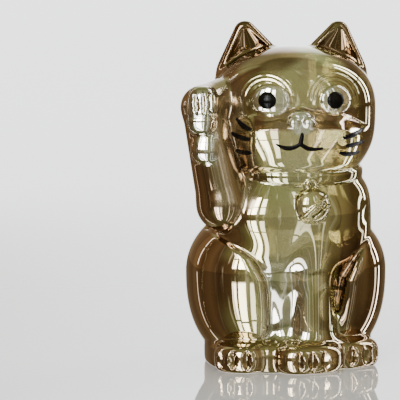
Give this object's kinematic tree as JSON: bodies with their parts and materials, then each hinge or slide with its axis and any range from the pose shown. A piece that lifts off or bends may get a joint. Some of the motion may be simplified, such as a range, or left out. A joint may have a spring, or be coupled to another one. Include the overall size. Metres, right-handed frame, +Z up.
{
  "type": "beckoning cat figurine",
  "caption": "Seated cat figurine cast solid in gold-lustred crystal, one front paw raised beside its head, with a collar, a round bell and a black enamelled face.",
  "frame": {"origin": "centre of the figurine's bounding box in plan, on the flat underside", "axes": "+Z up; the body faces -Y; +X is the cat's own left, so the raised right paw is at -X"},
  "size_m": [0.0612, 0.0458, 0.0977],
  "materials": {
    "lustre_crystal": "solid clear crystal, polished, with a thin half-transparent gold lustre fired over it",
    "black_enamel": "glossy fired black enamel"
  },
  "bodies": {
    "root": {"crystal_body": "lustre_crystal", "pupil_left": "black_enamel", "pupil_right": "black_enamel", "mouth_line": "black_enamel", "whisker_left_upper": "black_enamel", "whisker_left_middle": "black_enamel", "whisker_left_lower": "black_enamel", "whisker_right_upper": "black_enamel", "whisker_right_middle": "black_enamel", "whisker_right_lower": "black_enamel"}
  },
  "joints": []
}
